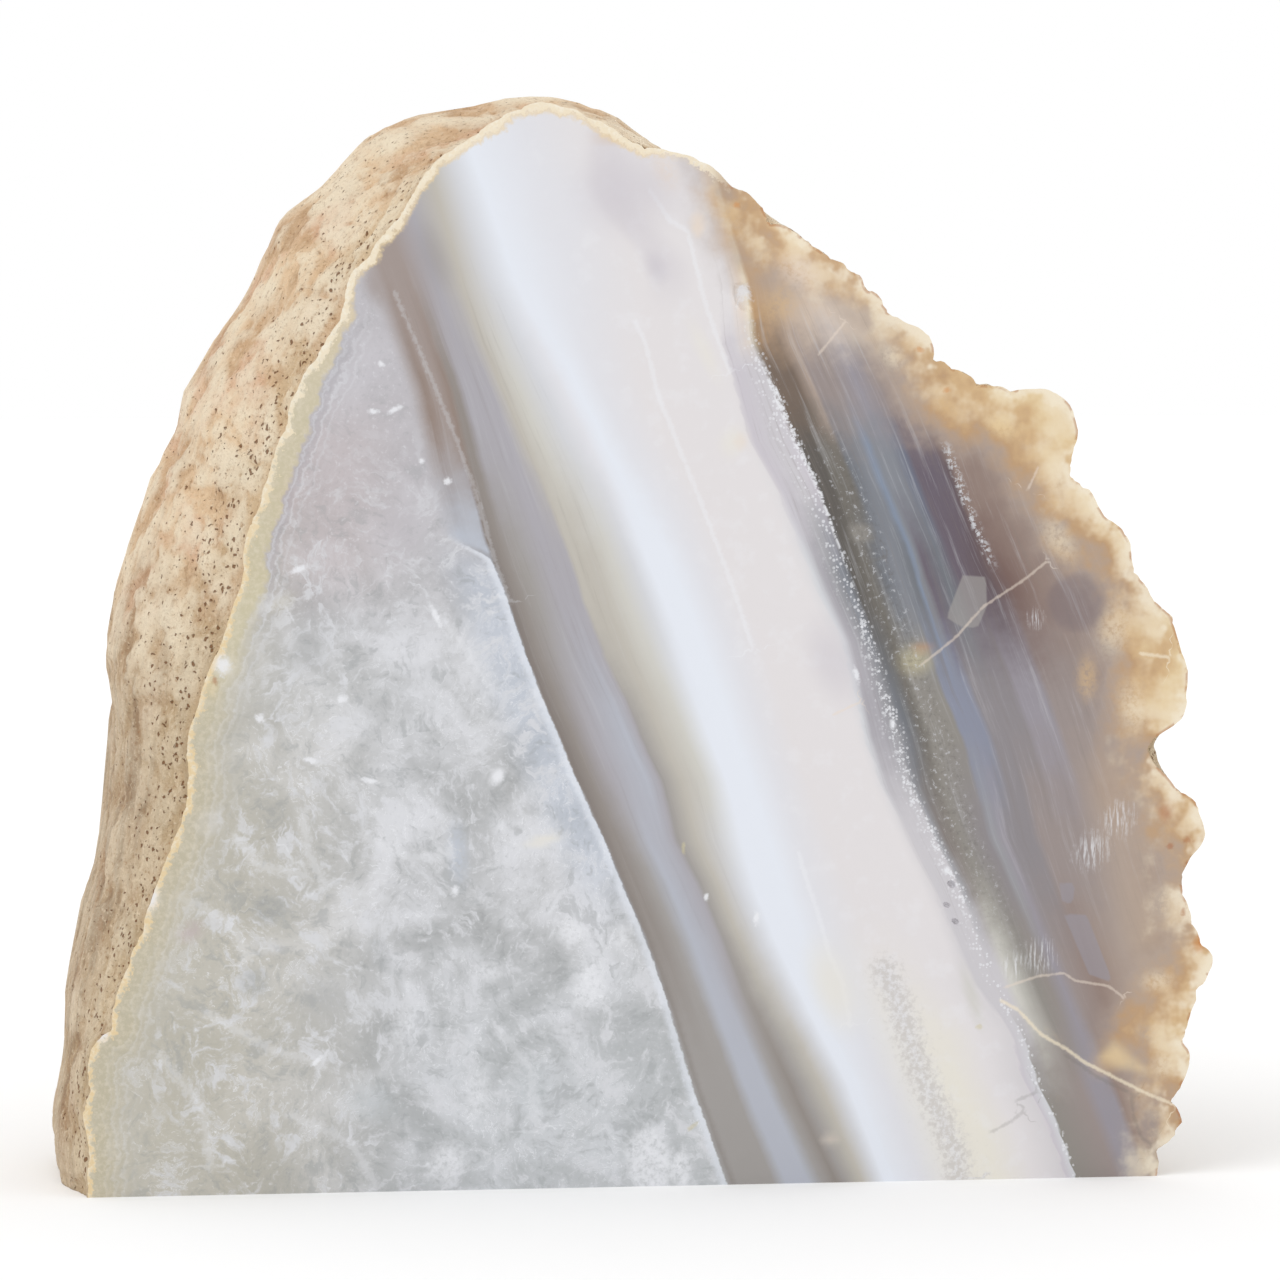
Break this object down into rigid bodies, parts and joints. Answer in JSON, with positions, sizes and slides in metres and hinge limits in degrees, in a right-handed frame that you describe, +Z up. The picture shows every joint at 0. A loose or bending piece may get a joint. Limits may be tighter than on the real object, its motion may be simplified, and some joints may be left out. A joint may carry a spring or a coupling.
{
  "type": "agate display stone",
  "caption": "Half of an agate nodule, sawn flat and polished in front and sawn flat below so that it stands, with its rough natural skin behind.",
  "frame": {"origin": "below the middle of the stone's box, in the plane of the sawn base", "axes": "+X to the right across the polished face, +Y straight back into the stone away from the polished face, +Z up"},
  "size_m": [0.117, 0.0452, 0.1097],
  "materials": {
    "agate": "polished banded chalcedony and cloudy quartz on the sawn face, matt pitted tan skin elsewhere"
  },
  "bodies": {
    "root": {"agate": "agate"}
  },
  "joints": []
}
